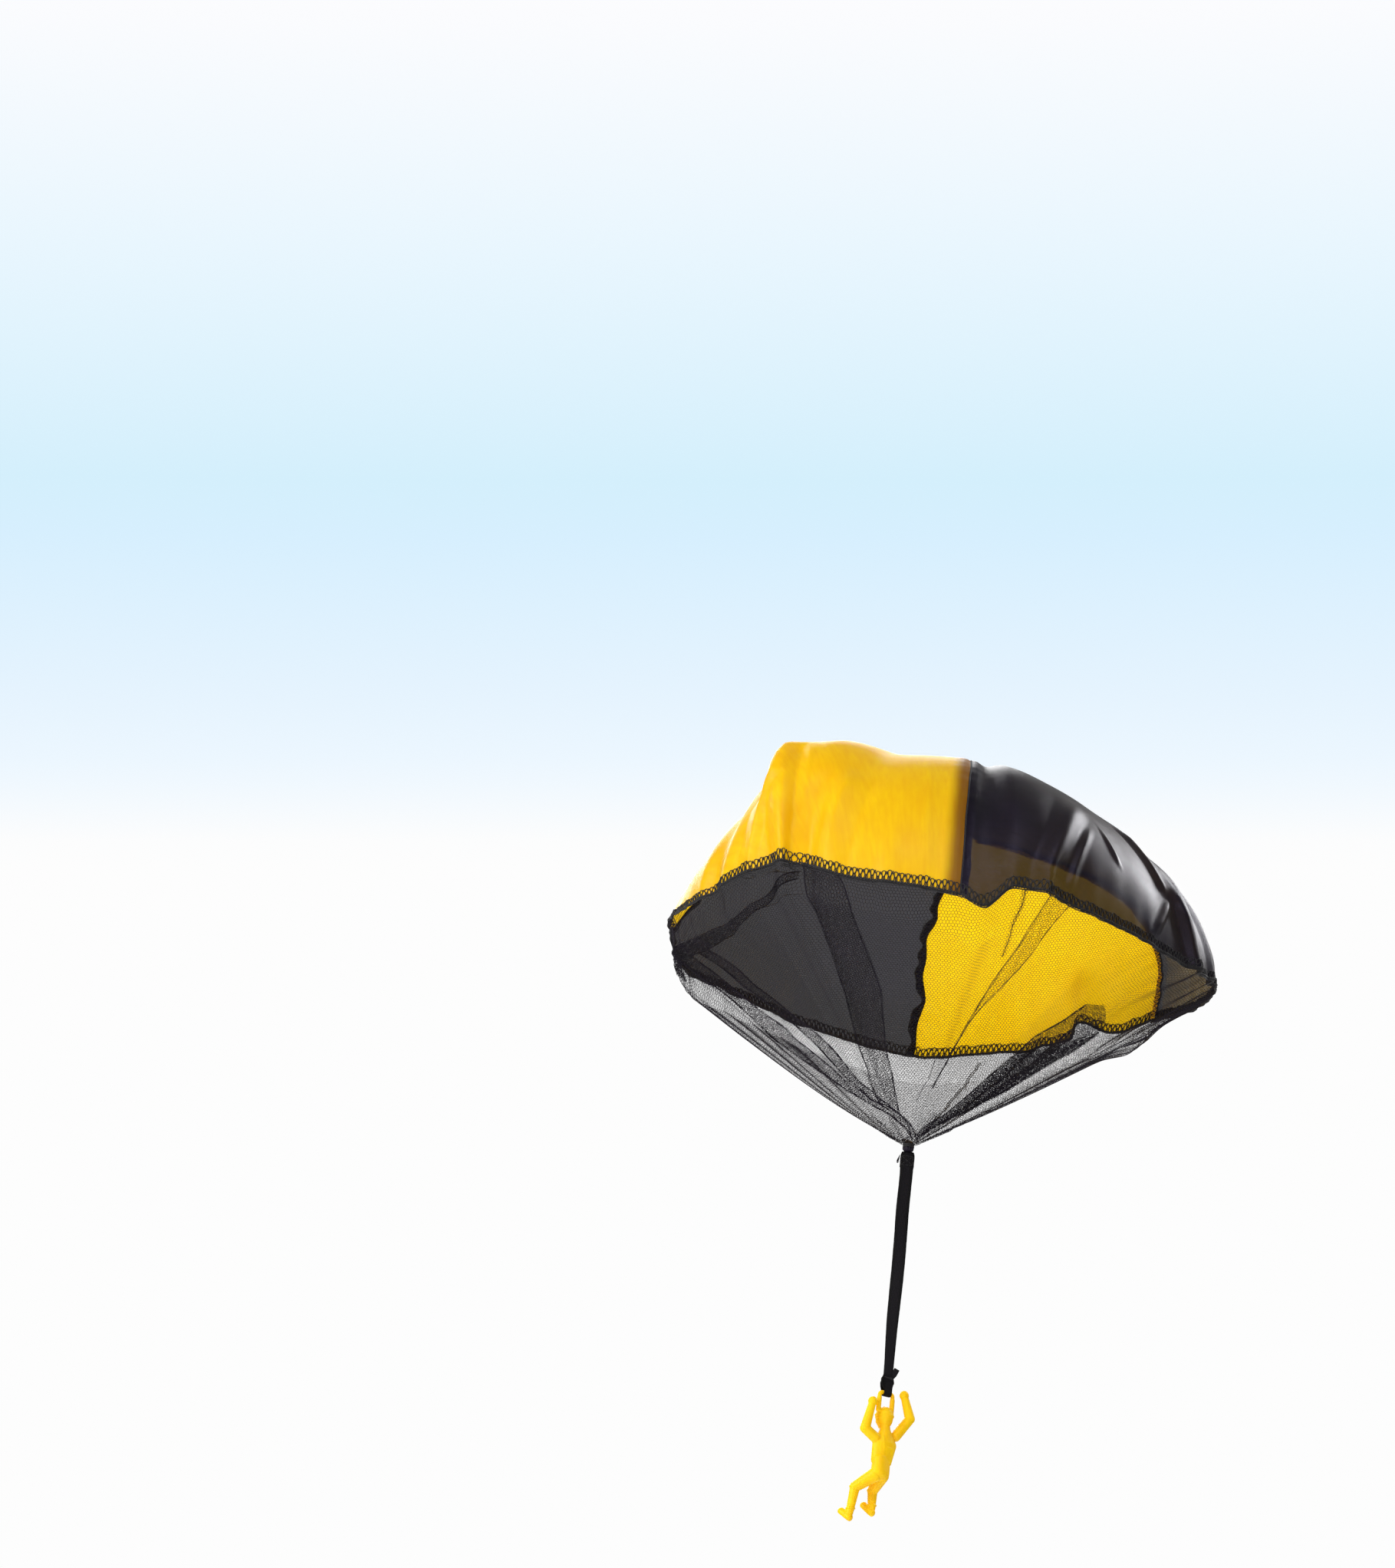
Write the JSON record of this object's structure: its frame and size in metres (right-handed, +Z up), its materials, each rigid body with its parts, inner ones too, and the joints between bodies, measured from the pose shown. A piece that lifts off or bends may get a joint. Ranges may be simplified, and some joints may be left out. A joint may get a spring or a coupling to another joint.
{
  "type": "toy parachute",
  "caption": "Toy parachute with a panelled fabric canopy, a mesh skirt gathered to a point, and a flat strap that carries a small hanging skydiver.",
  "frame": {"origin": "the sewn crown of the canopy, where its seams cross", "axes": "+Z up, opposite to the way the skydiver hangs; the side seen in the picture faces -Y"},
  "size_m": [0.2995, 0.2994, 0.4012],
  "materials": {
    "yellow_fabric": "thin satin nylon",
    "black_fabric": "thin satin nylon",
    "black_thread": "matt overlock thread",
    "yellow_thread": "matt overlock thread over yellow fabric",
    "black_mesh": "open knitted mesh",
    "strap_webbing": "matt woven tape",
    "figure_plastic": "soft satin plastic"
  },
  "bodies": {
    "canopy": {"panel_front_left": "yellow_fabric", "panel_front_right": "black_fabric", "panel_back_right": "yellow_fabric", "panel_back_left": "black_fabric", "seam_front": "black_thread", "seam_right": "black_thread", "seam_back": "black_thread", "seam_left": "black_thread", "crown_bartack": "black_thread", "hem_front_left": "yellow_thread", "hem_front_right": "black_thread", "hem_back_right": "yellow_thread", "hem_back_left": "black_thread", "net_skirt": "black_mesh", "net_closing_seam": "black_thread"},
    "neck": {"gather_tie": "black_thread"},
    "strap": {"strap_top_hem": "strap_webbing", "strap": "strap_webbing", "net_tail": "black_mesh"},
    "knot": {"strap_knot": "strap_webbing", "strap_loop": "strap_webbing", "knot_tail": "strap_webbing"},
    "skydiver": {"figure": "figure_plastic"}
  },
  "joints": [
    {"name": "neck_swing", "type": "hinge", "parent": "canopy", "child": "neck", "pos_m": [-0.0149, -0.025, -0.19], "axis": [1, 0, 0], "range_deg": [-60, 60]},
    {"name": "strap_swing", "type": "hinge", "parent": "neck", "child": "strap", "pos_m": [-0.0149, -0.025, -0.19], "axis": [0, 1, 0], "range_deg": [-60, 60]},
    {"name": "strap_twist", "type": "hinge", "parent": "strap", "child": "knot", "pos_m": [-0.0149, -0.025, -0.3137], "axis": [0, 0, 1], "range_deg": [-180, 180]},
    {"name": "ring_swing", "type": "hinge", "parent": "knot", "child": "skydiver", "pos_m": [-0.0149, -0.025, -0.3237], "axis": [0.8192, 0.5736, 0], "range_deg": [-75, 75]}
  ]
}
